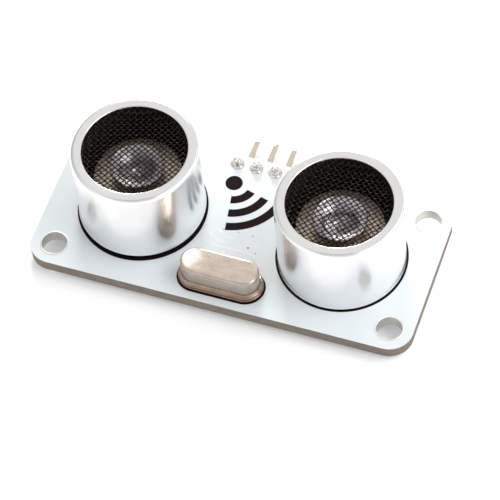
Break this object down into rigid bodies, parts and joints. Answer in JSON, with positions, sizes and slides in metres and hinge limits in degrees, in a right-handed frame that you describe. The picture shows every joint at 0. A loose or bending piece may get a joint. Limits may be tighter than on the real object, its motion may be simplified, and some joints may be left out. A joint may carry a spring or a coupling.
{
  "type": "ultrasonic distance sensor",
  "caption": "Ultrasonic distance sensor module: a board with a transmitting and a receiving transducer in metal cans, a crystal and a right-angle pin header.",
  "frame": {"origin": "centre of the four mounting holes, on the board's underside", "axes": "+Z from the board to the transducers' mouths, +X along the board from the transmitter to the receiver, +Y to the edge that the header pins stick out of"},
  "size_m": [0.05, 0.0286, 0.0173],
  "materials": {
    "solder_mask": "satin white solder mask over glass-epoxy laminate, taupe at the cut edges",
    "tin_plating": "satin tin plating",
    "print_ink": "matte black printed ink",
    "can_aluminium": "polished drawn sheet with a satin rim",
    "screen_wire": "dark woven wire",
    "black_moulding": "matte moulded",
    "vibrator_brass": "dull pale brass sheet",
    "cone_aluminium": "spun",
    "piezo_ceramic": "fired and silvered",
    "silicone": "cured bead",
    "tinned_wire": "tinned",
    "enamelled_copper": "enamelled",
    "solder": "bright flowed tin",
    "crystal_nickel": "warm satin nickel",
    "seal_glass": "fused",
    "clip_steel": "plain spring strip",
    "quartz": "lapped",
    "electrode_silver": "evaporated film",
    "header_plastic": "moulded",
    "pin_gold": "thin gold flash",
    "chip_epoxy": "fine matte moulding",
    "chip_lead_tin": "matte tin",
    "resistor_ceramic": "dark glazed top",
    "capacitor_ceramic": "fired tan",
    "end_cap_tin": "matte tin"
  },
  "bodies": {
    "root": {"circuit_board": "solder_mask", "mounting_hole_eyelets": "tin_plating", "front_print": "print_ink", "rear_print": "print_ink", "rear_pads": "tin_plating", "transmitter_can": "can_aluminium", "transmitter_mesh": "screen_wire", "transmitter_base": "black_moulding", "transmitter_plate": "vibrator_brass", "transmitter_cone": "cone_aluminium", "transmitter_piezo_disc": "piezo_ceramic", "transmitter_silicone": "silicone", "transmitter_terminals": "tinned_wire", "transmitter_lead_wires": "enamelled_copper", "transmitter_solder": "solder", "receiver_can": "can_aluminium", "receiver_mesh": "screen_wire", "receiver_base": "black_moulding", "receiver_plate": "vibrator_brass", "receiver_cone": "cone_aluminium", "receiver_piezo_disc": "piezo_ceramic", "receiver_silicone": "silicone", "receiver_terminals": "tinned_wire", "receiver_lead_wires": "enamelled_copper", "receiver_solder": "solder", "crystal_can": "crystal_nickel", "crystal_base": "crystal_nickel", "crystal_glass_seals": "seal_glass", "crystal_leads": "tinned_wire", "crystal_clips": "clip_steel", "crystal_quartz_blank": "quartz", "crystal_electrodes": "electrode_silver", "crystal_solder": "solder", "header_block": "header_plastic", "header_pins": "pin_gold", "header_solder": "solder", "microcontroller_body": "chip_epoxy", "microcontroller_leads": "chip_lead_tin", "amplifier_body": "chip_epoxy", "amplifier_leads": "chip_lead_tin", "driver_body": "chip_epoxy", "driver_leads": "chip_lead_tin", "transistor_body": "chip_epoxy", "transistor_leads": "chip_lead_tin", "resistor_bodies": "resistor_ceramic", "resistor_ends": "end_cap_tin", "capacitor_bodies": "capacitor_ceramic", "capacitor_ends": "end_cap_tin"}
  },
  "joints": []
}
